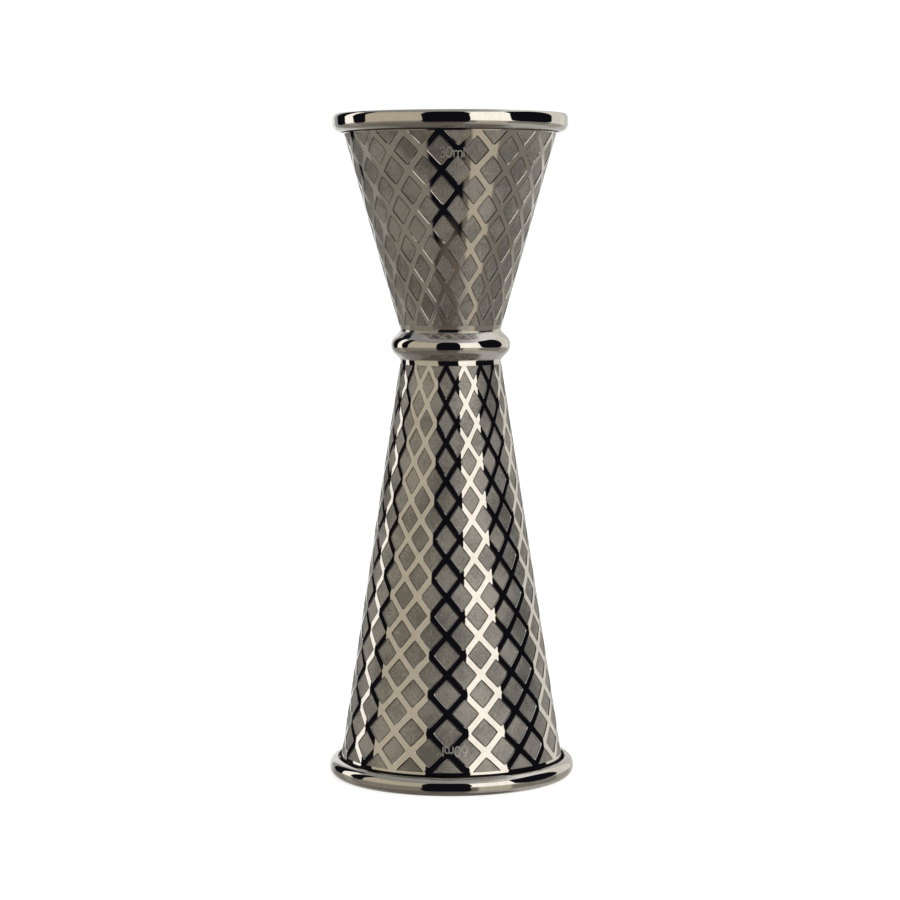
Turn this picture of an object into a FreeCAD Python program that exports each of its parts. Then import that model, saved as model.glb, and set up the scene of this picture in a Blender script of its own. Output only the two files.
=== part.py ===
import FreeCAD, Part
import math
import os

# Double-ended bar jigger: a large cup mouth down, a small cup mouth up, and a turned collar round the waist.
# Millimetres. +Z runs up the axis of the jigger. The origin is the centre of the large cup's mouth,
# on the plane that the jigger stands on.

# ---- driving dimensions -------------------------------------------------------------------------
overall_height = 128.0
sheet = 0.9                 # stainless sheet of both cup walls

butt_height = 83.74         # where the two necks meet, inside the collar
neck_radius = 9.75          # outside of both necks, and bore of the collar

large_mouth_radius = 22.089     # outside of the wall, carried down to the mouth plane
large_taper = 0.1532            # radius lost per millimetre away from the mouth
large_rim_radius = 23.79        # outside of the rolled rim
large_rim_lap = 0.06            # depth lapped off the rim to make it stand flat

small_mouth_radius = 21.44
small_taper = 0.2835
small_rim_radius = 22.61
small_rim_lap = 0.30

curl_height = 3.4           # mouth plane to the far side of the rolled rim
curl_top_radius = 1.5       # outside bend where the rim turns back towards the wall
curl_gap = 0.61             # from the cut edge of the rolled rim to the wall

floor_thickness = 1.2
solder_leg = 1.0            # fillet of silver solder between each floor and its wall

collar_radius = 11.57       # crest of the belly
collar_half_height = 2.74
collar_nose_radius = 2.3    # round of the belly, between its two straight flanks
collar_lip_radius = 9.9
collar_flank_angle = 45.0   # degrees from the axis

axis_start = FreeCAD.Vector(0, 0, 0)
axis_direction = FreeCAD.Vector(0, 0, 1)


def at(radius, height):
    """A point of a half-section: radius from the axis, height along it."""
    return FreeCAD.Vector(radius, 0, height)


def line(start, end):
    return Part.LineSegment(start, end).toShape()


def arc(start, centre, radius, angle, end):
    """An arc from start to end that passes the point at this angle (degrees) round the centre."""
    bend = math.radians(angle)
    middle = centre + FreeCAD.Vector(radius * math.cos(bend), 0, radius * math.sin(bend))
    return Part.Arc(start, middle, end).toShape()


def turned(edges):
    """A closed half-section, turned once round the axis."""
    section = Part.Face(Part.Wire(edges))
    solid = section.revolve(axis_start, axis_direction, 360)
    return solid if solid.Volume > 0 else solid.reversed()


def cup_wall(mouth_radius, taper, rim_radius, rim_lap, neck_end):
    """Cone rolled from sheet, with its rim curled outward and its narrow end drawn to a short straight neck.

    The section is drawn with the mouth plane at height 0 and the neck upwards. The curl starts tangent to
    the inside of the wall, runs round the mouth, up the outside and back towards the wall, and stops open.
    """
    slope = math.atan(taper)
    inner_mouth = mouth_radius - sheet / math.cos(slope)
    reach = rim_radius - inner_mouth - taper * rim_lap
    bend = reach / (1 + 1 / math.cos(slope) - taper)
    inner_bend = bend - sheet
    centre = at(rim_radius - bend, bend - rim_lap)
    normal = at(math.cos(slope), math.sin(slope))
    wall_inside = centre - normal * bend
    wall_outside = centre - normal * inner_bend

    land = math.sqrt(bend ** 2 - centre.z ** 2)
    land_inner = at(centre.x - land, 0)
    land_outer = at(centre.x + land, 0)
    land_angle = math.degrees(math.atan2(centre.z, land))
    wall_angle = 180 + math.degrees(slope)
    inner_land_angle = 180 + land_angle

    bend_out = at(rim_radius, centre.z)
    inner_bend_out = at(rim_radius - sheet, centre.z)
    top_centre = at(rim_radius - curl_top_radius, curl_height - curl_top_radius)
    side_end = at(rim_radius, top_centre.z)
    inner_side_end = at(rim_radius - sheet, top_centre.z)
    crown = at(top_centre.x, curl_height)
    inner_crown = at(top_centre.x, curl_height - sheet)
    lip_radius = mouth_radius - taper * curl_height + curl_gap
    lip = at(lip_radius, curl_height)
    inner_lip = at(lip_radius, curl_height - sheet)

    neck_bore = neck_radius - sheet
    outer_shoulder = at(neck_radius, (mouth_radius - neck_radius) / taper)
    inner_shoulder = at(neck_bore, (inner_mouth - neck_bore) / taper)
    return turned([
        line(inner_shoulder, wall_inside),
        arc(wall_inside, centre, bend, (wall_angle + inner_land_angle) / 2, land_inner),
        line(land_inner, land_outer),
        arc(land_outer, centre, bend, -land_angle / 2, bend_out),
        line(bend_out, side_end),
        arc(side_end, top_centre, curl_top_radius, 45, crown),
        line(crown, lip),
        line(lip, inner_lip),
        line(inner_lip, inner_crown),
        arc(inner_crown, top_centre, curl_top_radius - sheet, 45, inner_side_end),
        line(inner_side_end, inner_bend_out),
        arc(inner_bend_out, centre, inner_bend, (wall_angle - 360) / 2, wall_outside),
        line(wall_outside, outer_shoulder),
        line(outer_shoulder, at(neck_radius, neck_end)),
        line(at(neck_radius, neck_end), at(neck_bore, neck_end)),
        line(at(neck_bore, neck_end), inner_shoulder),
    ])


def cup_floor(neck_end):
    """Flat disc welded inside the end of the neck, flush with it."""
    return Part.makeCylinder(neck_radius - sheet, floor_thickness, at(0, neck_end - floor_thickness))


def floor_solder(neck_end):
    """Concave fillet of silver solder that rounds the corner between the floor and the wall."""
    corner = at(neck_radius - sheet, neck_end - floor_thickness)
    on_wall = corner - at(0, solder_leg)
    on_floor = corner - at(solder_leg, 0)
    centre = corner - at(solder_leg, solder_leg)
    return turned([
        line(corner, on_wall),
        arc(on_wall, centre, solder_leg, 45, on_floor),
        line(on_floor, corner),
    ])


def mouth_up(shape):
    """Turn a piece that was drawn mouth down over, to put its mouth at the top of the jigger."""
    turned_over = shape.copy()
    turned_over.rotate(axis_start, FreeCAD.Vector(1, 0, 0), 180)
    turned_over.translate(at(0, overall_height))
    return turned_over


def waist_collar():
    """Turned ring with a straight bore, two flat ends, straight flanks and a half-round belly."""
    flank = math.radians(collar_flank_angle)
    nose_centre = at(collar_radius - collar_nose_radius, butt_height)
    nose_edge = at(math.cos(flank), math.sin(flank)) * collar_nose_radius
    flank_drop = nose_centre.x + nose_edge.x - collar_lip_radius
    flank_end = nose_edge.z + flank_drop * math.tan(flank)
    low, high = butt_height - collar_half_height, butt_height + collar_half_height
    upper_nose = nose_centre + nose_edge
    lower_nose = at(upper_nose.x, butt_height - nose_edge.z)
    return turned([
        line(at(neck_radius, low), at(collar_lip_radius, low)),
        line(at(collar_lip_radius, low), at(collar_lip_radius, butt_height - flank_end)),
        line(at(collar_lip_radius, butt_height - flank_end), lower_nose),
        arc(lower_nose, nose_centre, collar_nose_radius, 0, upper_nose),
        line(upper_nose, at(collar_lip_radius, butt_height + flank_end)),
        line(at(collar_lip_radius, butt_height + flank_end), at(collar_lip_radius, high)),
        line(at(collar_lip_radius, high), at(neck_radius, high)),
        line(at(neck_radius, high), at(neck_radius, low)),
    ])


large_neck_end = butt_height
small_neck_end = overall_height - butt_height

pieces = {
    "large_cup_wall": cup_wall(large_mouth_radius, large_taper, large_rim_radius, large_rim_lap, large_neck_end),
    "large_cup_floor": cup_floor(large_neck_end),
    "large_floor_solder": floor_solder(large_neck_end),
    "small_cup_wall": mouth_up(
        cup_wall(small_mouth_radius, small_taper, small_rim_radius, small_rim_lap, small_neck_end)),
    "small_cup_floor": mouth_up(cup_floor(small_neck_end)),
    "small_floor_solder": mouth_up(floor_solder(small_neck_end)),
    "waist_collar": waist_collar(),
}

os.makedirs("parts", exist_ok=True)
for name, piece in pieces.items():
    piece.exportStep("parts/" + name + ".step")
    box = piece.BoundBox
    print(name, piece.isValid(), round(piece.Volume, 1), round(box.ZMin, 3), round(box.ZMax, 3), round(box.XMax, 3))
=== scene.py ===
import bpy
import math
import numpy as np
from mathutils import Matrix, Vector


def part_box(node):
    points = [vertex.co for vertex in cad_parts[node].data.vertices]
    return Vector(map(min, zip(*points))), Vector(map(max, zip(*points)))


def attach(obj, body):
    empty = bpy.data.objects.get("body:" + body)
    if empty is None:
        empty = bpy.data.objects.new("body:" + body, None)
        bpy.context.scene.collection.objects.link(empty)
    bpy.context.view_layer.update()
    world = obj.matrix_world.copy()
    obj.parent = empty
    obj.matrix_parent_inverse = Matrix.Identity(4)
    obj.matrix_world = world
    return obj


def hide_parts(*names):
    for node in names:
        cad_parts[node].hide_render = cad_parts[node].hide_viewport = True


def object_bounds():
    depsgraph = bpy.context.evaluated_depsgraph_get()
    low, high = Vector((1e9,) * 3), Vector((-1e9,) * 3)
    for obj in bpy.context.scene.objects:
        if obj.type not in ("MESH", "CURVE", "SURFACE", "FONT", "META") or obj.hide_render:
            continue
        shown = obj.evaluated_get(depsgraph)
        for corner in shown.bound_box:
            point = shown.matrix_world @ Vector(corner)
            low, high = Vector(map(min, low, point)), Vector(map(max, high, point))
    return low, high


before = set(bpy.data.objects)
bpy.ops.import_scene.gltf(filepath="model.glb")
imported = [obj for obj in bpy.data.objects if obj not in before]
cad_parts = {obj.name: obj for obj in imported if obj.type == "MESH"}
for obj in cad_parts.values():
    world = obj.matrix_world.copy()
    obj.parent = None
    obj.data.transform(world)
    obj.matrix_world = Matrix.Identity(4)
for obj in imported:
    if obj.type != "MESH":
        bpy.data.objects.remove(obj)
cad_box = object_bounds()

MM = 0.001      # sizes below are in millimetres, and this turns them into the frame's metres

# ---- Large cup wall --------------------------------------------------------------------------
# A tall cone of stainless sheet, etched flat, rolled and welded, then plated in dark nickel and mirror
# polished, with matte diamonds between the raised lattice lines. The rim is the same sheet, curled outward
# and left open; the groove behind it is painted near black as shade. Its mouth is lapped flat so that the
# jigger stands.


def shade_node(tree, kind, place=(0, 0), **values):
    """One shader node, with its plain settings and its unlinked sockets set by name."""
    node = tree.nodes.new(kind)
    node.location = place
    for name, value in values.items():
        if hasattr(node, name):
            setattr(node, name, value)
        else:
            node.inputs[name.replace("_", " ")].default_value = value
    return node


def metal(name, colour, rough_low, rough_high, grain_scale, grain_stretch, bump, mottling):
    """Bare metal. The sum of a soft cloud and a fine grain mottles the colour and takes the roughness from
    rough_low to rough_high, and the bump follows the grain. grain_stretch multiplies grain_scale on each
    axis."""
    material = bpy.data.materials.new(name)
    material.use_nodes = True
    tree = material.node_tree
    tree.nodes.clear()
    out = shade_node(tree, "ShaderNodeOutputMaterial", (900, 0))
    shader = shade_node(tree, "ShaderNodeBsdfPrincipled", (600, 0), Metallic=1.0)
    where = shade_node(tree, "ShaderNodeTexCoord", (-900, 0))
    stretch = shade_node(tree, "ShaderNodeMapping", (-700, -200))
    stretch.inputs["Scale"].default_value = grain_stretch
    cloud = shade_node(tree, "ShaderNodeTexNoise", (-450, 250), Scale=90.0, Detail=4.0, Roughness=0.6)
    grain = shade_node(tree, "ShaderNodeTexNoise", (-450, -200), Scale=grain_scale, Detail=6.0,
                       Roughness=0.65)
    tint = shade_node(tree, "ShaderNodeMix", (300, 200), data_type="RGBA")
    tint.inputs[6].default_value = (*[c * (1 - mottling) for c in colour], 1)
    tint.inputs[7].default_value = (*colour, 1)
    gloss = shade_node(tree, "ShaderNodeMapRange", (100, -50))
    gloss.inputs["From Min"].default_value = 0.75
    gloss.inputs["From Max"].default_value = 1.25
    gloss.inputs["To Min"].default_value = rough_low
    gloss.inputs["To Max"].default_value = rough_high
    relief = shade_node(tree, "ShaderNodeBump", (300, -300), Strength=bump, Distance=0.00004)
    link = tree.links.new
    link(where.outputs["Object"], cloud.inputs["Vector"])
    link(where.outputs["Object"], stretch.inputs["Vector"])
    link(stretch.outputs["Vector"], grain.inputs["Vector"])
    speckle = shade_node(tree, "ShaderNodeMath", (-200, 150), operation="ADD")
    spread = shade_node(tree, "ShaderNodeMapRange", (100, 250))
    spread.inputs["From Min"].default_value = 0.88
    spread.inputs["From Max"].default_value = 1.12
    link(cloud.outputs["Fac"], speckle.inputs[0])
    link(grain.outputs["Fac"], speckle.inputs[1])
    link(speckle.outputs[0], spread.inputs["Value"])
    link(spread.outputs["Result"], tint.inputs[0])
    link(tint.outputs[2], shader.inputs["Base Color"])
    link(speckle.outputs[0], gloss.inputs["Value"])
    link(gloss.outputs["Result"], shader.inputs["Roughness"])
    link(grain.outputs["Fac"], relief.inputs["Height"])
    link(relief.outputs["Normal"], shader.inputs["Normal"])
    link(shader.outputs["BSDF"], out.inputs["Surface"])
    return material


polished_nickel = metal("polished_dark_nickel", (0.60, 0.585, 0.555), 0.008, 0.026, 900.0, (1, 1, 1),
                        0.004, 0.08)
etched_nickel = metal("etched_dark_nickel", (0.62, 0.605, 0.58), 0.54, 0.68, 3600.0, (1, 1, 1), 0.65, 0.50)
# Near black painted shade, for the groove behind the curl and for the undercut at the foot of each etched
# step.
painted_shade_nickel = metal("painted_shade_dark_nickel", (0.014, 0.013, 0.013), 0.40, 0.55, 1500.0, (1, 1, 1),
                      0.2, 0.3)
step_nickel = metal("etched_step_nickel", (0.58, 0.565, 0.535), 0.10, 0.18, 2000.0, (1, 1, 1), 0.1, 0.2)
inside_nickel = metal("inside_satin_nickel", (0.56, 0.545, 0.515), 0.14, 0.24, 500.0, (0.25, 0.25, 14),
                      0.10, 0.10)

# A cup wall's finishes, in the order of its material slots.
wall_finishes = (polished_nickel, etched_nickel, inside_nickel, painted_shade_nickel, step_nickel)
POLISHED, ETCHED, INSIDE, PAINTED_SHADE, STEP = range(len(wall_finishes))

# The cone: radius at a distance h from its mouth is mouth_radius - taper * h. All in millimetres.
cup_sheet = 0.9
large_cup = dict(mouth_radius=22.089, taper=0.1532, rim_radius=23.79, lap=0.06, neck_end=83.74)
etch_depth = 0.10
columns = 18
half_diamond = 0.371        # from a diamond's middle to its sides, as a share of the cell
corner_pull = 0.045         # how far a corner is pulled in, as a share of its distance from the middle
curl_height = 3.4
curl_bend = 1.5
curl_gap = 0.61
lip_round = 0.12            # round on the two corners of the curl's cut edge
painted_shade_share = 0.4          # how far the painted shade in the groove runs from the curl towards the etched band
groove_floor = (2.6, 2.0)   # two points on the wall hidden in the groove, from the mouth
lap_ease = 2.0              # degrees of the bend in one step of the lapped flat's softened edges
lap_lift = 0.004            # rise of those softened edges
lap_inset = 0.10            # from the flat's edges to its first points
shoulder_ease = 0.12        # softened corner between the cone and the neck
neck_ease = 0.3             # last straight stretch of the neck
band_ease = 0.25            # support lines this far from the etched band and from the neck's corner
bore_ease = 0.1             # softened corner between the bore's cone and its neck
neck_radius = 9.75

# Where the cell's grid lines fall, from one lattice line's middle to the next, as shares of the cell:
# the flat of the line, the etched step, the undercut at its foot, painted near black as shade, and the matte
# floor.
cell_steps = np.array([0, 0.054, 0.108, 0.130, 0.150, 0.30, 0.5, 0.70, 0.850, 0.870, 0.892, 0.946])
cell_depth = np.array([0, 0, 0, 0.86, 1, 1, 1, 1, 1, 0.86, 0, 0])
wall_crease = 18            # degrees between two faces above which their edge is sharp


def arc_points(centre, radius, start, end, count):
    """Points round a centre, from one angle to another in degrees, in the (radius, distance) plane."""
    turn = np.radians(np.linspace(start, end, count))
    return np.stack([centre[0] + radius * np.cos(turn), centre[1] + radius * np.sin(turn)], -1)


def cup_profile(mouth_radius, taper, rim_radius, lap, neck_end, etched_from, etched_to):
    """The half-section of a cup wall that is not etched, from the mouth side of the etched band, round the
    curl, the mouth, the bore and the neck, back to the other side of the band: straight runs joined by arcs.
    Returns the points, as radius and distance from the mouth, and how many of them belong to the outside
    below the band, to the rim, and to the bore."""
    slope = math.atan(taper)
    inner_mouth = mouth_radius - cup_sheet / math.cos(slope)
    bend = (rim_radius - inner_mouth - taper * lap) / (1 + 1 / math.cos(slope) - taper)
    centre = np.array([rim_radius - bend, bend - lap])
    normal = np.array([math.cos(slope), math.sin(slope)])
    wall_inside = centre - normal * bend
    wall_outside = centre - normal * (bend - cup_sheet)
    land = math.sqrt(bend ** 2 - centre[1] ** 2)
    land_angle = math.degrees(math.atan2(centre[1], land))
    wall_angle = 180 + math.degrees(slope)
    ease = lap_ease
    top = np.array([rim_radius - curl_bend, curl_height - curl_bend])
    lip = mouth_radius - taper * curl_height + curl_gap
    edge = lip_round
    # The wall is painted near black as the groove's shade from the curl up to this distance from the mouth.
    painted_shade_edge = curl_height + painted_shade_share * (etched_from - curl_height)
    margin = np.array([[mouth_radius - taper * distance, distance]
                       for distance in (etched_from, painted_shade_edge, *groove_floor)])
    rim = np.concatenate([
        arc_points(centre, bend - cup_sheet, wall_angle, 360, 15),
        arc_points(top, curl_bend - cup_sheet, 0, 90, 9),
        [[lip + edge, curl_height - cup_sheet]],
        arc_points((lip + edge, curl_height - cup_sheet + edge), edge, -120, -180, 3),
        arc_points((lip + edge, curl_height - edge), edge, 180, 100, 4),
        arc_points(top, curl_bend, 88, 0, 17),
        [[rim_radius, 0.5 * (top[1] + centre[1])]],
        arc_points(centre, bend, 0, -land_angle + ease * 4, 17),
        arc_points(centre, bend, -land_angle + ease * 2, -land_angle - ease, 2) + [0, lap_lift],
        [[centre[0] + land - lap_inset, 0]], [[centre[0], 0]], [[centre[0] - land + lap_inset, 0]],
        arc_points(centre, bend, land_angle - 180 + ease, land_angle - 180 - ease * 2, 2) + [0, lap_lift],
        arc_points(centre, bend, land_angle - 180 - ease * 4, wall_angle - 360, 9),
    ])
    neck_bore = neck_radius - cup_sheet
    inner_shoulder = (inner_mouth - neck_bore) / taper
    outer_shoulder = (mouth_radius - neck_radius) / taper
    runs = np.linspace(wall_inside[1], inner_shoulder, 40)[1:-1]
    bore = np.concatenate([
        np.stack([inner_mouth - taper * runs, runs], -1),
        [[neck_bore, inner_shoulder + bore_ease]], [[neck_bore, neck_end]],
    ])
    neck = np.array([[neck_radius, neck_end], [neck_radius, neck_end - neck_ease],
                     [neck_radius, outer_shoulder + shoulder_ease],
                     [neck_radius + taper * shoulder_ease, outer_shoulder - shoulder_ease],
                     [neck_radius + taper * band_ease, outer_shoulder - band_ease],
                     [mouth_radius - taper * (etched_to + band_ease), etched_to + band_ease],
                     [mouth_radius - taper * etched_to, etched_to]])
    points = np.concatenate([margin, rim, bore, neck])
    points[:, 1] = np.maximum(points[:, 1], 0)
    return points, len(margin), len(rim), len(bore)


def etched_cup(name, cup, etched_from, etched_to, half_rows, phase, lean, mouth_up, top):
    """A cup wall as one closed surface.

    The etched band is a grid along the two families of lattice lines: u = angle / column + height / pitch and
    v = angle / column - height / pitch, so that u - v counts half pitches from the band's edge and every
    lattice line and every diamond's edge lies along grid lines. The depth at (u, v) is the smaller of the
    depths that cell_depth gives for u and for v. The rest is cup_profile, turned round the axis with the same
    number of points, whose angles run evenly from one edge of the band round to the other.
    phase is the angle of a crossing at the mouth edge of the band, and lean is how far the columns turn
    from there to the other edge, both in degrees. mouth_up turns the cup over, below the height top."""
    steps = len(cell_steps)
    around = columns * steps
    level, step = np.meshgrid(np.arange(half_rows * steps + 1), np.arange(around), indexing="ij")
    other = step - level
    u = step // steps + cell_steps[step % steps]
    v = other // steps + cell_steps[other % steps]
    depth = np.minimum(cell_depth[step % steps], cell_depth[other % steps])

    # Each diamond's corners are pulled in a little, so that they are rounded as etched corners are.
    across, along = u % 1 - 0.5, v % 1 - 0.5
    near = (np.clip(np.abs(across) / half_diamond, 0, 1) ** 9
            * np.clip(np.abs(along) / half_diamond, 0, 1) ** 9)
    fade = np.clip((0.5 - np.maximum(np.abs(across), np.abs(along))) / (0.5 - half_diamond), 0, 1)
    pull = corner_pull * near * fade
    u = u - across * pull
    v = v - along * pull

    share = (u - v) / half_rows
    distance = etched_from + share * (etched_to - etched_from)
    angle = np.radians((u + v) / 2 * 360 / columns + phase + lean * share)
    radius = cup["mouth_radius"] - cup["taper"] * distance
    outline, below, rim, bore = cup_profile(**cup, etched_from=etched_from, etched_to=etched_to)
    turns = np.linspace(0, 1, len(outline))[:, None]
    outline_angle = angle[0][None, :] * (1 - turns) + angle[-1][None, :] * turns
    all_radius = np.concatenate([radius - depth * etch_depth, np.repeat(outline[:, :1], around, 1)])
    all_distance = np.concatenate([distance, np.repeat(outline[:, 1:], around, 1)])
    all_angle = np.concatenate([angle, outline_angle])
    height = top - all_distance if mouth_up else all_distance
    points = np.stack([all_radius * np.sin(all_angle), -all_radius * np.cos(all_angle), height], -1)

    def index(row, column):
        return row * around + column % around

    first = np.arange(around)
    last = len(level) - 1
    start, stop = len(level), len(level) + len(outline)

    def ring(row, next_row):
        return np.stack([index(row, first), index(row, first + 1),
                         index(next_row, first + 1), index(next_row, first)], -1)

    rows, cells = np.meshgrid(np.arange(1, last), first, indexing="ij")
    diamonds = np.stack([index(rows, cells), index(rows + 1, cells + 1),
                         index(rows, cells + 1), index(rows - 1, cells)], -1).reshape(-1, 4)
    corner_depth = depth.reshape(-1)[diamonds]
    # A diamond's floor is wholly at full depth, its undercut wholly below half and painted shade, and its
    # step crosses half.
    shallow, deep = corner_depth.min(axis=1), corner_depth.max(axis=1)
    cell_finish = np.select([shallow > 0.99, shallow > 0.5, deep > 0.5], [ETCHED, PAINTED_SHADE, STEP], POLISHED)

    # Where just one corner is higher or lower, the face is folded from that corner across, as a mitre.
    outlier = np.abs(corner_depth - np.median(corner_depth, axis=1)[:, None]) > 0.05
    folded = (outlier.sum(axis=1) == 1) & (outlier[:, 1] | outlier[:, 3])
    diamonds[folded] = np.roll(diamonds[folded], 1, axis=1)

    # The band's two edges are closed by triangles, and the outline's rings run on from one edge to the other.
    low_edge = np.stack([index(0, first), index(1, first + 1), index(0, first + 1)], -1)
    high_edge = np.stack([index(last, first), index(last, first + 1), index(last - 1, first)], -1)
    body = [ring(row, row + 1) for row in range(start, stop - 1)]
    joins = [ring(stop - 1, last), ring(0, start)]
    other_way = [0, 3, 2, 1]
    quads = np.concatenate([diamonds, *body, *joins])[:, other_way]
    tris = np.concatenate([low_edge[:, ::-1], high_edge[:, ::-1]])
    if mouth_up:
        quads, tris = quads[:, other_way], tris[:, ::-1]

    outline_row = np.repeat(np.arange(len(outline) - 1), around)
    # Rows down in the groove behind the curl take the near black painted shade.
    painted_shade_rows = (outline_row > 0) & (outline_row < below)
    in_bore = (outline_row >= below + rim - 1) & (outline_row < below + rim + bore - 1)
    body_finish = np.select([painted_shade_rows, in_bore], [PAINTED_SHADE, INSIDE], POLISHED)
    join_finish = np.full(len(joins) * around, POLISHED)
    edge_finish = np.concatenate([np.where((row > 0.5) & (np.roll(row, -1) > 0.5), ETCHED, POLISHED)
                                  for row in (depth[0], depth[-1])])

    mesh = bpy.data.meshes.new(name)
    loops = np.concatenate([quads.reshape(-1), tris.reshape(-1)])
    mesh.vertices.add(len(points.reshape(-1, 3)))
    mesh.vertices.foreach_set("co", (points.reshape(-1) * MM))
    mesh.loops.add(len(loops))
    mesh.loops.foreach_set("vertex_index", loops)
    mesh.polygons.add(len(quads) + len(tris))
    sides = np.concatenate([np.full(len(quads), 4), np.full(len(tris), 3)])
    mesh.polygons.foreach_set("loop_start", np.concatenate([[0], np.cumsum(sides)[:-1]]))
    finishes = np.concatenate([cell_finish, body_finish, join_finish, edge_finish])
    mesh.polygons.foreach_set("material_index", finishes)
    mesh.update(calc_edges=True)
    mesh.validate()
    for material in wall_finishes:
        mesh.materials.append(material)
    mesh.shade_smooth()
    mesh.set_sharp_from_angle(angle=math.radians(wall_crease))
    piece = bpy.data.objects.new(name, mesh)
    bpy.context.scene.collection.objects.link(piece)
    return piece


large_band = dict(etched_from=4.15, etched_to=80.1, half_rows=21, phase=-11.7, lean=-3.2)
large_wall = etched_cup("large_cup_wall_etched", large_cup, **large_band, mouth_up=False, top=0)
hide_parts("large_cup_wall")
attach(large_wall, "root")

# ---- Small cup wall --------------------------------------------------------------------------
# The same making as the large cup, shorter and steeper, and turned mouth up. Its rim is lapped wider
# flat, because it is the jigger's second foot.

small_cup = dict(mouth_radius=21.44, taper=0.2835, rim_radius=22.61, lap=0.30, neck_end=44.26)
top_of_jigger = cad_box[1][2] / MM
small_band = dict(etched_from=3.75, etched_to=40.3, half_rows=10, phase=-5.6, lean=2.3)
small_wall = etched_cup("small_cup_wall_etched", small_cup, **small_band, mouth_up=True, top=top_of_jigger)
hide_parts("small_cup_wall")
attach(small_wall, "root")

# ---- Capacity marks --------------------------------------------------------------------------
# Each cup's volume is marked near its rim in plain strokes, cut by laser across the lattice and the
# diamonds after polishing. The frosted strokes follow the relief and stand out pale.

laser_frost = metal("laser_frosted_mark", (0.80, 0.79, 0.76), 0.50, 0.62, 2500.0, (1, 1, 1), 0.2, 0.12)
mark_height = 1.85
mark_stroke = 0.20
mark_proud, mark_sunk = 0.012, 0.05     # a stroke's top above the relief, and its foot below it
mark_spacing = 0.03                     # between points along a stroke
digit_width = 1.02


def bow(centre, size, start, end):
    """Part of an ellipse, from one angle to another in degrees."""
    turn = np.radians(np.linspace(start, end, 40))
    return np.stack([centre[0] + size[0] * np.cos(turn), centre[1] + size[1] * np.sin(turn)], -1)


# Strokes of each sign, with x to the right and y up, in millimetres from the sign's lower left.
half = digit_width / 2
full = mark_height
signs = {
    "3": (digit_width, [np.concatenate([bow((half, full * 0.755), (half * 0.86, full * 0.245), 150, -90),
                                        bow((half, full * 0.265), (half, full * 0.265), 90, -150)])]),
    "6": (digit_width, [bow((half, full * 0.31), (half, full * 0.31), 0, 360),
                        bow((half * 1.75, full * 0.31), (half * 1.75, full * 0.69), 180, 98)]),
    "0": (digit_width, [bow((half, full / 2), (half, full / 2), 0, 360)]),
    "m": (1.5, [np.array([[0, 0], [0, full * 0.66]]),
                np.concatenate([bow((0.375, full * 0.42), (0.375, full * 0.24), 180, 0), [[0.75, 0]]]),
                np.concatenate([bow((1.125, full * 0.42), (0.375, full * 0.24), 180, 0), [[1.5, 0]]])]),
    "l": (0.1, [np.array([[0.05, 0], [0.05, full]])]),
}
sign_gaps = {"3": 0.32, "6": 0.32, "0": 0.36, "m": 0.32, "l": 0}


def evenly(path, step):
    """The same line through points at an even spacing along it."""
    run = np.concatenate([[0], np.cumsum(np.linalg.norm(np.diff(path, axis=0), axis=1))])
    places = np.linspace(0, run[-1], max(int(run[-1] / step), 2))
    return np.stack([np.interp(places, run, path[:, k]) for k in (0, 1)], -1)


def capacity_mark(name, text, cup, band, centre_height, centre_angle, mouth_up, top):
    """Strokes carried along each sign's lines as a flat bar whose top follows the cup's relief: the wall's
    radius, less the etched depth at that angle and height, plus mark_proud. Its foot is cut into the wall.
    Each mark reads upright when its own cup is uppermost."""
    cursor = 0.0
    lines = []
    for sign in text:
        width, strokes = signs[sign]
        lines += [evenly(stroke + [cursor, 0], mark_spacing) for stroke in strokes]
        cursor += width + sign_gaps[sign]
    facing = 1 if mouth_up else -1
    vertices, faces, count = [], [], 0
    steps, depths = np.append(cell_steps, 1), np.append(cell_depth, 0)
    lift = np.array([mark_proud, mark_proud, -mark_sunk, -mark_sunk])
    for path in lines:
        along = np.gradient(path, axis=0)
        along /= np.linalg.norm(along, axis=1, keepdims=True)
        side = np.stack([-along[:, 1], along[:, 0]], -1) * mark_stroke / 2
        edges = np.stack([path + side, path - side, path - side, path + side], 1)
        height = centre_height + facing * (edges[..., 1] - mark_height / 2)
        distance = top - height if mouth_up else height
        radius = cup["mouth_radius"] - cup["taper"] * distance
        angle = centre_angle + facing * np.degrees((edges[..., 0] - cursor / 2) / radius)
        share = (distance - band["etched_from"]) / (band["etched_to"] - band["etched_from"])
        turn = (angle - band["phase"] - band["lean"] * share) * columns / 360
        rise = share * band["half_rows"] / 2
        depth = np.minimum(np.interp((turn + rise) % 1, steps, depths),
                           np.interp((turn - rise) % 1, steps, depths))
        radius = radius - depth * etch_depth + lift
        angle = np.radians(angle)
        points = np.stack([radius * np.sin(angle), -radius * np.cos(angle), height], -1)
        row, corner = np.meshgrid(np.arange(len(path) - 1), np.arange(4), indexing="ij")
        beside = (corner + 1) % 4
        bars = np.stack([row * 4 + corner, row * 4 + beside, row * 4 + beside + 4, row * 4 + corner + 4], -1)
        ends = np.array([[3, 2, 1, 0], np.arange(4) + 4 * (len(path) - 1)])
        vertices.append(points.reshape(-1, 3))
        faces.append(np.concatenate([bars.reshape(-1, 4), ends]) + count)
        count += points.size // 3
    mesh = bpy.data.meshes.new(name)
    mesh.from_pydata((np.concatenate(vertices) * MM).tolist(), [], np.concatenate(faces).tolist())
    mesh.materials.append(laser_frost)
    piece = bpy.data.objects.new(name, mesh)
    bpy.context.scene.collection.objects.link(piece)
    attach(piece, "root")
    return piece


capacity_mark("large_capacity_mark", "60ml", large_cup, large_band, centre_height=8.1, centre_angle=1.9,
              mouth_up=False, top=0)
capacity_mark("small_capacity_mark", "30ml", small_cup, small_band, centre_height=120.2, centre_angle=0.9,
              mouth_up=True, top=top_of_jigger)

# ---- Waist collar ----------------------------------------------------------------------------
# A ring turned from bar: straight bore over both necks, flat ends, straight flanks and a half-round
# belly, mirror polished and plated with the cups.

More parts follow.
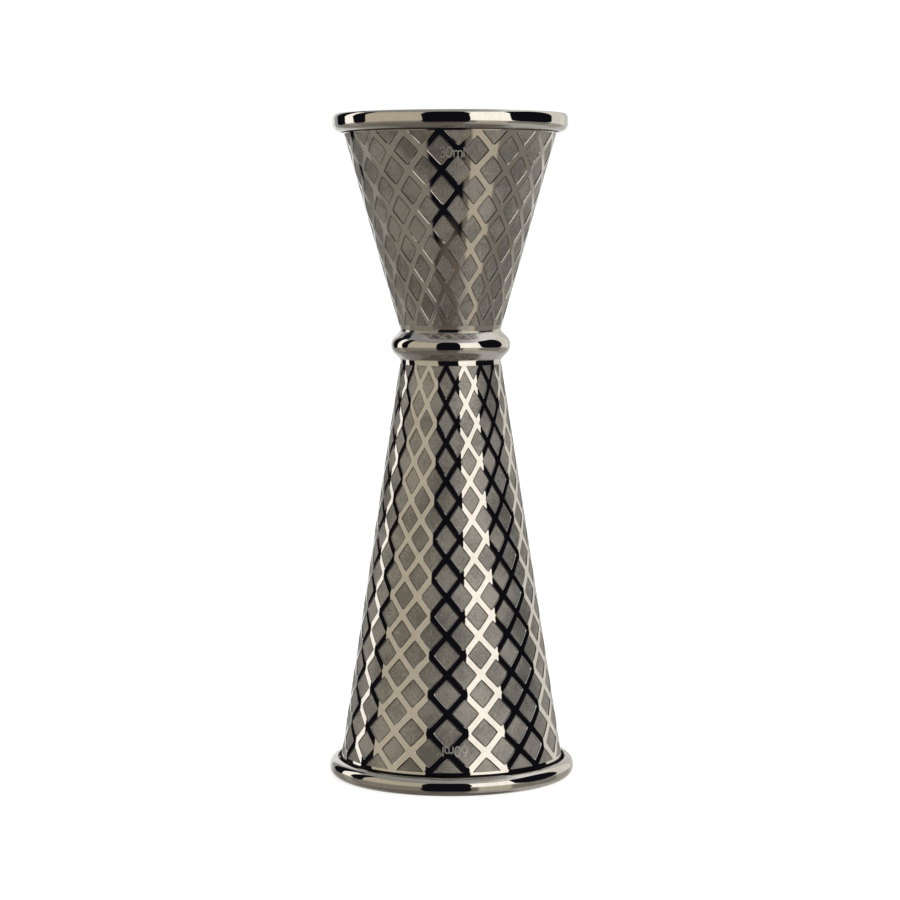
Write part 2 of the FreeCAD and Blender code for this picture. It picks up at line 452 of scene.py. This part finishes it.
collar_crest = 11.57
collar_nose = 2.3
collar_half_height = 2.74
collar_lip = 9.9
collar_bevel = 0.04
bore_bevel = (0.05, 0.08)       # across and along, where the bore meets each end
collar_crease = 32              # degrees, as wall_crease
gloss_falls, gloss_gone = 10.9, 10.1        # radii between which the gloss falls off
gloss_loss = 0.13                           # roughness added inside them
collar_nickel = metal("collar_dark_nickel", (0.60, 0.585, 0.555), 0.01, 0.03, 900.0, (1, 1, 1), 0.006, 0.08)


def dull_corners(material, full_gloss, no_gloss, added):
    """Add roughness towards the axis: none at the radius full_gloss and all of it at no_gloss, because the
    polishing wheel does not reach into the corners beside the belly."""
    tree = material.node_tree
    link = tree.links.new
    shader = next(node for node in tree.nodes if node.type == "BSDF_PRINCIPLED")
    where = next(node for node in tree.nodes if node.type == "TEX_COORD")
    gloss = shader.inputs["Roughness"].links[0].from_socket
    level = shade_node(tree, "ShaderNodeMapping", (-700, -450))
    level.inputs["Scale"].default_value = (1, 1, 0)
    from_axis = shade_node(tree, "ShaderNodeVectorMath", (-450, -450), operation="LENGTH")
    dulled = shade_node(tree, "ShaderNodeMapRange", (-200, -450), interpolation_type="SMOOTHSTEP")
    dulled.inputs["From Min"].default_value = full_gloss * MM
    dulled.inputs["From Max"].default_value = no_gloss * MM
    dulled.inputs["To Max"].default_value = added
    total = shade_node(tree, "ShaderNodeMath", (300, -150), operation="ADD")
    link(where.outputs["Object"], level.inputs["Vector"])
    link(level.outputs["Vector"], from_axis.inputs[0])
    link(from_axis.outputs["Value"], dulled.inputs["Value"])
    link(gloss, total.inputs[0])
    link(dulled.outputs["Result"], total.inputs[1])
    link(total.outputs[0], shader.inputs["Roughness"])


dull_corners(collar_nickel, gloss_falls, gloss_gone, gloss_loss)


def turned_ring(name, outline, around, material):
    """A closed outline of (radius, height) points in order round the section, turned round the axis."""
    angle = np.linspace(0, 2 * math.pi, around, endpoint=False)
    count = len(outline)
    radius, turn = np.meshgrid(outline[:, 0], angle, indexing="ij")
    height = np.repeat(outline[:, 1:], around, 1)
    points = np.stack([radius * np.sin(turn), -radius * np.cos(turn), height], -1).reshape(-1, 3)
    row, column = np.meshgrid(np.arange(count), np.arange(around), indexing="ij")
    after, beside = (row + 1) % count, (column + 1) % around
    faces = np.stack([row * around + column, row * around + beside,
                      after * around + beside, after * around + column], -1).reshape(-1, 4)
    mesh = bpy.data.meshes.new(name)
    mesh.from_pydata((points * MM).tolist(), [], faces.tolist())
    mesh.materials.append(material)
    mesh.shade_smooth()
    mesh.set_sharp_from_angle(angle=math.radians(collar_crease))
    piece = bpy.data.objects.new(name, mesh)
    bpy.context.scene.collection.objects.link(piece)
    return piece


collar_low, collar_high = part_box("waist_collar")
collar_middle = (collar_low[2] + collar_high[2]) / 2 / MM
nose_middle = collar_crest - collar_nose
flank = collar_nose * math.sqrt(0.5)
flank_end = flank + nose_middle + flank - collar_lip
bevel = collar_bevel
across, along = bore_bevel
collar_outline = np.concatenate([
    [[neck_radius, -collar_half_height + along], [neck_radius + across, -collar_half_height]],
    [[collar_lip - bevel, -collar_half_height], [collar_lip, -collar_half_height + bevel]],
    [[collar_lip, -flank_end], [collar_lip + bevel, -flank_end + bevel]],
    arc_points((nose_middle, 0), collar_nose, -45, 45, 33),
    [[collar_lip + bevel, flank_end - bevel], [collar_lip, flank_end]],
    [[collar_lip, collar_half_height - bevel], [collar_lip - bevel, collar_half_height]],
    [[neck_radius + across, collar_half_height], [neck_radius, collar_half_height - along]],
]) + [0, collar_middle]
collar = turned_ring("waist_collar_turned", collar_outline, 288, collar_nickel)
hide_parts("waist_collar")
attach(collar, "root")

# ---- Floors ----------------------------------------------------------------------------------
# Two discs of stainless plate, a little thicker than the walls, flush with the ends of the necks. They are
# polished with the insides, so they show fine marks from the polishing wheel.

floor_nickel = metal("floor_satin_nickel", (0.56, 0.545, 0.515), 0.16, 0.26, 700.0, (1, 1, 1), 0.12, 0.10)
for node in ("large_cup_floor", "small_cup_floor"):
    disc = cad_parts[node]
    disc.data.materials.clear()
    disc.data.materials.append(floor_nickel)

# ---- Solder fillets --------------------------------------------------------------------------
# Silver solder drawn into the corner between each floor and its wall, plated over. It is softer and a
# little lighter than the sheet, with a faintly pooled surface.

solder_metal = metal("silver_solder_plated", (0.62, 0.60, 0.56), 0.20, 0.34, 350.0, (1, 1, 1), 0.30, 0.15)
for node in ("large_floor_solder", "small_floor_solder"):
    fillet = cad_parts[node]
    fillet.data.materials.clear()
    fillet.data.materials.append(solder_metal)

# ---- Studio ----------------------------------------------------------------------------------
# A white floor to stand on, and a soft studio all round for the metal to mirror: tall light panels at their
# own azimuths, dark flags in front of them, a plain ceiling above and a brown table below.

# Azimuth 0 faces the front of the jigger and turns towards +X, in degrees. A panel is given by where it ends
# and its colours: its own light, its dimmer foot near the table, the table under it and the crown over it.
PANEL_END, PANEL_LIGHT, PANEL_FOOT, PANEL_TABLE, PANEL_CROWN = range(5)
panels = [
    (-154.0, (0.95, 0.95, 0.94), (0.75, 0.74, 0.72), (0.50, 0.49, 0.47), (0.55, 0.55, 0.54)),
    (-144.0, (0.42, 0.42, 0.42), (0.40, 0.39, 0.37), (0.36, 0.35, 0.33), (0.38, 0.38, 0.37)),
    (-133.0, (0.42, 0.42, 0.42), (0.30, 0.285, 0.26), (0.32, 0.30, 0.275), (0.38, 0.38, 0.37)),
    (-122.5, (1.55, 1.48, 1.36), (0.30, 0.285, 0.26), (0.28, 0.265, 0.24), (0.38, 0.38, 0.37)),
    (-109.0, (1.55, 1.48, 1.36), (0.43, 0.40, 0.355), (0.25, 0.235, 0.21), (0.38, 0.37, 0.36)),
    (-99.5, (1.55, 1.48, 1.36), (0.27, 0.245, 0.215), (0.23, 0.21, 0.19), (0.38, 0.37, 0.36)),
    (-27.5, (0.68, 0.61, 0.475), (0.315, 0.283, 0.235), (0.20, 0.18, 0.16), (0.38, 0.365, 0.345)),
    (-4.0, (0.68, 0.61, 0.475), (0.010, 0.009, 0.014), (0.15, 0.125, 0.10), (0.42, 0.405, 0.385)),
    (18.7, (1.62, 1.54, 1.40), (0.010, 0.009, 0.014), (0.18, 0.15, 0.125), (0.46, 0.445, 0.425)),
    (25.5, (1.62, 1.54, 1.40), (0.22, 0.19, 0.155), (0.40, 0.37, 0.335), (0.52, 0.505, 0.48)),
    (59.5, (1.62, 1.54, 1.40), (0.66, 0.59, 0.47), (0.50, 0.47, 0.43), (0.65, 0.635, 0.61)),
    (88.0, (1.62, 1.54, 1.40), (0.285, 0.262, 0.225), (0.55, 0.52, 0.48), (0.95, 0.93, 0.90)),
    (117.5, (0.98, 0.94, 0.85), (0.29, 0.27, 0.24), (0.58, 0.56, 0.53), (1.10, 1.08, 1.05)),
    (150.0, (0.98, 0.94, 0.85), (0.48, 0.45, 0.405), (0.58, 0.56, 0.53), (1.05, 1.03, 1.00)),
    (180.0, (0.72, 0.70, 0.67), (0.64, 0.62, 0.59), (0.50, 0.49, 0.47), (0.70, 0.69, 0.67)),
]
# Dark flags hang in front of the panels, from one azimuth to another, each down to its own foot.
flags = [(-144.0, -122.5, -11.0), (-109.0, -90.0, -11.0), (-27.5, 18.7, -40.0), (59.5, 117.5, -11.0)]
flag_light = (0.007, 0.007, 0.011)
flag_top = 44.0
# Elevations, in degrees, at which the table turns to what is under it, the table ends, the panels' feet
# end, the panels end and their crowns end.
table_under, table_edge, panel_foot, panel_top, crown_top = -58.0, -31.8, -9.0, 36.0, 60.0
under_light = (0.19, 0.17, 0.15)
ceiling_light = (0.44, 0.43, 0.415)

world = bpy.data.worlds.new("studio")
bpy.context.scene.world = world
world.use_nodes = True
sky = world.node_tree
sky.nodes.clear()
toward = shade_node(sky, "ShaderNodeTexCoord")
parts = shade_node(sky, "ShaderNodeSeparateXYZ")
sky.links.new(toward.outputs["Generated"], parts.inputs[0])
forward = shade_node(sky, "ShaderNodeMath", operation="MULTIPLY")
forward.inputs[1].default_value = -1.0
sky.links.new(parts.outputs["Y"], forward.inputs[0])
azimuth = shade_node(sky, "ShaderNodeMath", operation="ARCTAN2")
sky.links.new(parts.outputs["X"], azimuth.inputs[0])
sky.links.new(forward.outputs[0], azimuth.inputs[1])
round_share = shade_node(sky, "ShaderNodeMapRange")
round_share.inputs["From Min"].default_value = -math.pi
round_share.inputs["From Max"].default_value = math.pi
sky.links.new(azimuth.outputs[0], round_share.inputs["Value"])


def panel_ring(which, blur):
    """Colours round the azimuth: every panel is plain from its start to its end, and neighbours run into each
    other over a share of the turn. which picks one of a panel's colours."""
    ramp = shade_node(sky, "ShaderNodeValToRGB")
    stops = ramp.color_ramp.elements
    start = -180.0
    for panel in panels:
        for share in ((start + 180) / 360 + blur, (panel[PANEL_END] + 180) / 360 - blur):
            stop = stops.new(min(max(share, 0), 1))
            stop.color = (*panel[which], 1)
        start = panel[PANEL_END]
    stops.remove(stops[0])
    stops.remove(stops[-1])
    sky.links.new(round_share.outputs["Result"], ramp.inputs["Fac"])
    return ramp.outputs["Color"]


elevation = shade_node(sky, "ShaderNodeMath", operation="ARCSINE")
sky.links.new(parts.outputs["Z"], elevation.inputs[0])


def above(limit, softness):
    """How far a direction is above an elevation, from 0 to 1 across a soft edge, both in degrees."""
    node = shade_node(sky, "ShaderNodeMapRange", interpolation_type="SMOOTHSTEP")
    node.inputs["From Min"].default_value = math.radians(limit - softness)
    node.inputs["From Max"].default_value = math.radians(limit + softness)
    sky.links.new(elevation.outputs[0], node.inputs["Value"])
    return node.outputs["Result"]


def lay_over(base, cover, share):
    """Mix a colour over another by a share. Each is a socket or a plain colour."""
    node = shade_node(sky, "ShaderNodeMix", data_type="RGBA")
    for socket, value in ((node.inputs[6], base), (node.inputs[7], cover)):
        if isinstance(value, tuple):
            socket.default_value = (*value, 1)
        else:
            sky.links.new(value, socket)
    sky.links.new(share, node.inputs[0])
    return node.outputs[2]


def worked_out(operation, first, second=0.0):
    """One step of arithmetic on a socket, with a socket or a number."""
    node = shade_node(sky, "ShaderNodeMath", operation=operation)
    sky.links.new(first, node.inputs[0])
    if isinstance(second, float):
        node.inputs[1].default_value = second
    else:
        sky.links.new(second, node.inputs[1])
    return node.outputs[0]


def flag_shape(start, end, foot):
    """1 inside a flag and 0 outside, for a shape with rounded ends: the sum of the fourth powers of the
    azimuth and the elevation, each from the flag's middle over its half size, is below 1."""
    middle, reach = math.radians(start + end) / 2, math.radians(end - start) / 2
    level, rise = math.radians(flag_top + foot) / 2, math.radians(flag_top - foot) / 2
    across = worked_out("MULTIPLY", worked_out("SUBTRACT", azimuth.outputs[0], middle), 1 / reach)
    along = worked_out("MULTIPLY", worked_out("SUBTRACT", elevation.outputs[0], level), 1 / rise)
    powers = [worked_out("POWER", worked_out("ABSOLUTE", side), 4.0) for side in (across, along)]
    edge = shade_node(sky, "ShaderNodeMapRange", interpolation_type="SMOOTHSTEP")
    edge.inputs["From Min"].default_value = 1.06
    edge.inputs["From Max"].default_value = 0.94
    sky.links.new(worked_out("ADD", *powers), edge.inputs["Value"])
    return edge.outputs["Result"]


standing = lay_over(panel_ring(PANEL_FOOT, 0.004), panel_ring(PANEL_LIGHT, 0.0012),
                    above(panel_foot, 3.0))
standing = lay_over(standing, panel_ring(PANEL_CROWN, 0.02), above(panel_top, 1.5))
standing = lay_over(standing, ceiling_light, above(crown_top, 4.0))
for flag in flags:
    standing = lay_over(standing, flag_light, flag_shape(*flag))
table = lay_over(under_light, panel_ring(PANEL_TABLE, 0.012), above(table_under, 4.0))
studio = lay_over(table, standing, above(table_edge, 0.4))
ray = shade_node(sky, "ShaderNodeLightPath")
seen = lay_over(studio, (1.0, 1.0, 1.0), ray.outputs["Is Camera Ray"])
glow = shade_node(sky, "ShaderNodeBackground")
sky.links.new(seen, glow.inputs["Color"])
sky_out = shade_node(sky, "ShaderNodeOutputWorld")
sky.links.new(glow.outputs[0], sky_out.inputs["Surface"])

floor_mesh = bpy.data.meshes.new("studio_floor")
floor_reach = 4.0
floor_mesh.from_pydata([(-floor_reach, -floor_reach, 0), (floor_reach, -floor_reach, 0),
                        (floor_reach, floor_reach, 0), (-floor_reach, floor_reach, 0)], [], [(0, 1, 2, 3)])
floor_paint = bpy.data.materials.new("studio_floor_white")
floor_paint.use_nodes = True
floor_shader = floor_paint.node_tree.nodes["Principled BSDF"]
floor_shader.inputs["Base Color"].default_value = (0.9, 0.9, 0.9, 1)
floor_shader.inputs["Roughness"].default_value = 0.9
floor_shader.inputs["Emission Color"].default_value = (1, 1, 1, 1)
floor_shader.inputs["Emission Strength"].default_value = 0.72
floor_mesh.materials.append(floor_paint)
floor = bpy.data.objects.new("studio_floor", floor_mesh)
floor.visible_glossy = False
floor.visible_diffuse = False
bpy.context.scene.collection.objects.link(floor)

# ---- Camera ----------------------------------------------------------------------------------
# Half a metre in front of the jigger and a little above it, with a long lens, looking slightly down.

camera_place = Vector((0, -503.4, 106.7)) * MM
camera_aim = Vector((-0.16, 0, 63.26)) * MM
camera_roll = math.radians(0.13)
eye = bpy.data.cameras.new("studio_camera")
eye.lens = 104.06
eye.sensor_width = 36.0
eye.clip_start = 0.01
eye.clip_end = 50
camera = bpy.data.objects.new("studio_camera", eye)
look = (camera_aim - camera_place).to_track_quat("-Z", "Y").to_matrix().to_4x4()
camera.matrix_world = Matrix.Translation(camera_place) @ look @ Matrix.Rotation(-camera_roll, 4, "Z")
bpy.context.scene.collection.objects.link(camera)
bpy.context.scene.camera = camera
bpy.context.scene.view_settings.view_transform = "Standard"
bpy.context.scene.view_settings.look = "None"
